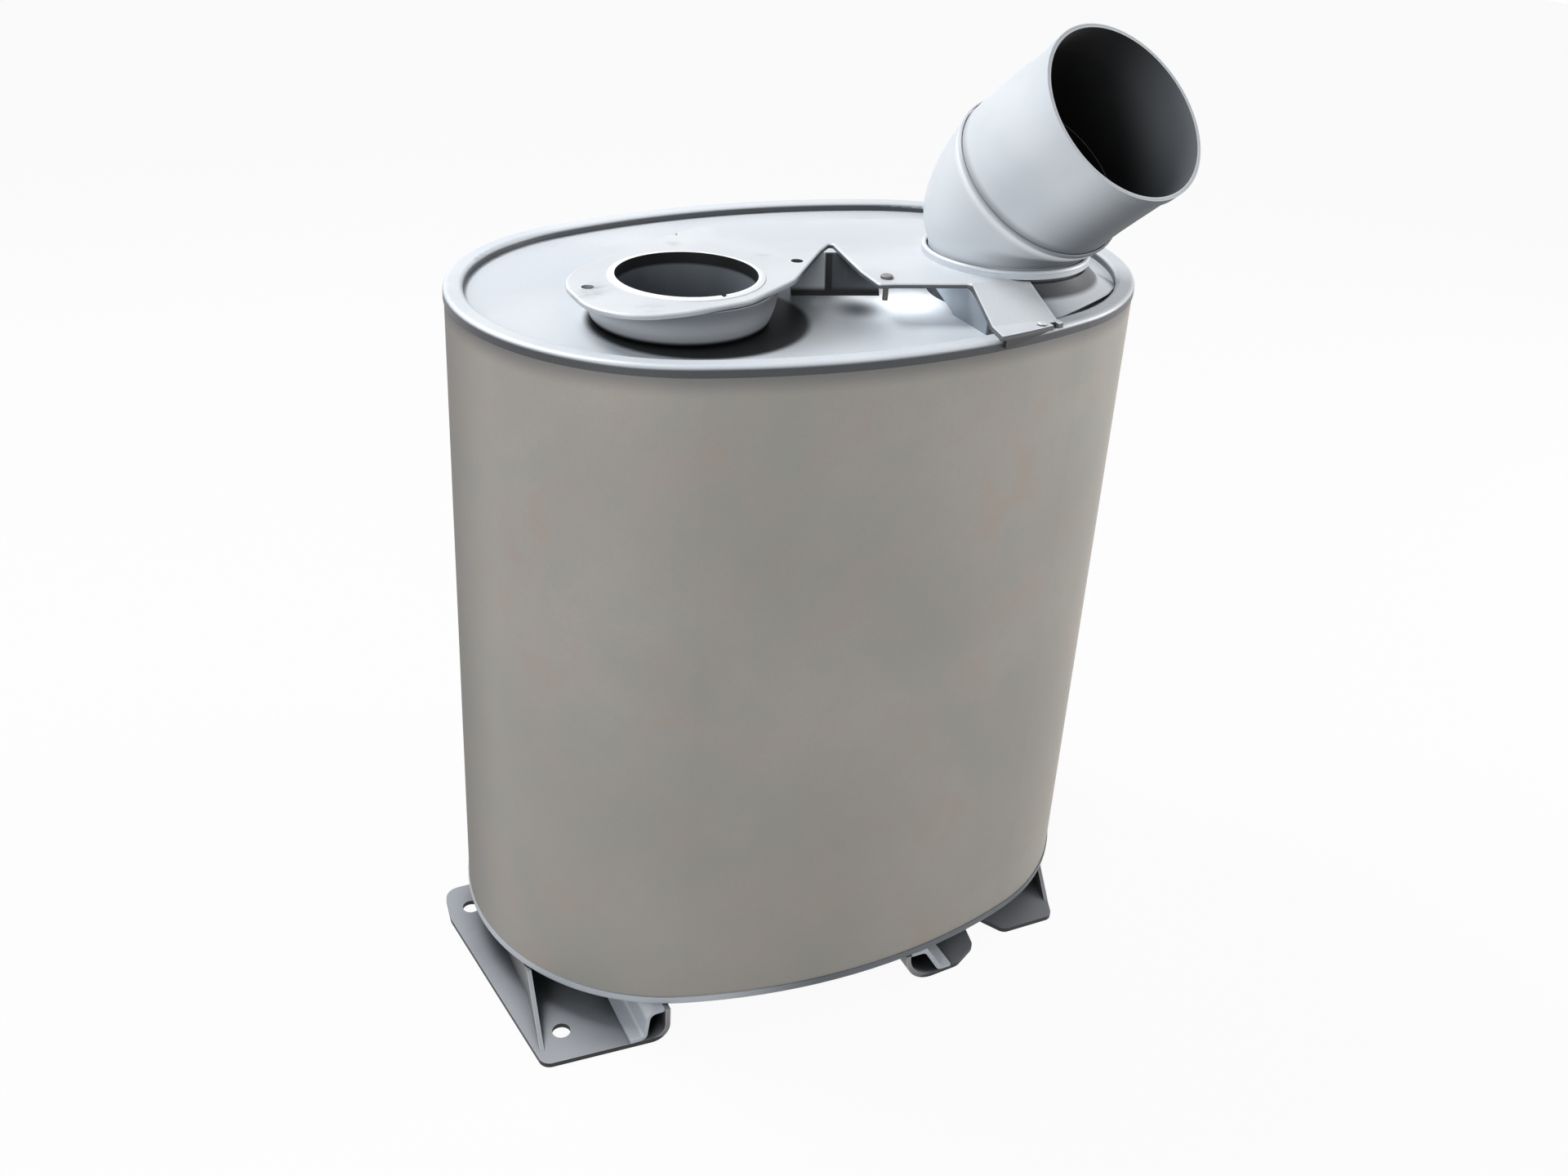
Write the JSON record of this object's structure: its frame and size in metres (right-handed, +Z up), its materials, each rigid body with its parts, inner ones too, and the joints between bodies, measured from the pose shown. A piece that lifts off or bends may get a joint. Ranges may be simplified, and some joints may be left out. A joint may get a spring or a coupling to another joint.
{
  "type": "exhaust silencer",
  "caption": "Upright oval exhaust silencer with a top inlet, an angled outlet elbow and pressed mounting feet.",
  "frame": {"origin": "centre of the oval body, on the underside of the feet", "axes": "+Z up, +X along the oval's long axis towards the outlet, +Y towards the back"},
  "size_m": [0.5466, 0.3892, 0.752],
  "materials": {
    "aluminised_shell": "matt aluminised steel with faint heat tint",
    "rim_steel": "satin rolled rim and end plate",
    "pressed_plate": "satin pressed sheet",
    "elbow_steel": "smooth satin tube",
    "pipe_steel": "plain tube steel",
    "foot_steel": "satin pressed feet",
    "insulation": "needled mineral mat",
    "fastener_steel": "plain fastener steel"
  },
  "bodies": {
    "root": {"outer_shell": "aluminised_shell", "top_end_plate": "rim_steel", "bottom_end_plate": "rim_steel", "top_plate": "pressed_plate", "inlet_pipe": "pipe_steel", "inlet_cup": "pressed_plate", "elbow_lower": "elbow_steel", "elbow_upper": "elbow_steel", "mouth_ring": "elbow_steel", "elbow_seam_bead": "elbow_steel", "elbow_base_bead": "elbow_steel", "outlet_skirt": "pressed_plate", "outlet_tube": "pipe_steel", "short_crossover_tube": "pipe_steel", "long_crossover_tube": "pipe_steel", "lower_baffle": "pipe_steel", "middle_baffle": "pipe_steel", "upper_baffle": "pipe_steel", "inner_liner": "pipe_steel", "insulation_mat": "insulation", "flap_gusset": "foot_steel", "plate_web": "foot_steel", "plate_screw": "fastener_steel", "screw_nut": "fastener_steel", "flap_rivet": "fastener_steel", "left_foot": "foot_steel", "right_foot": "foot_steel", "left_foot_brace": "foot_steel", "right_foot_brace": "foot_steel"}
  },
  "joints": []
}
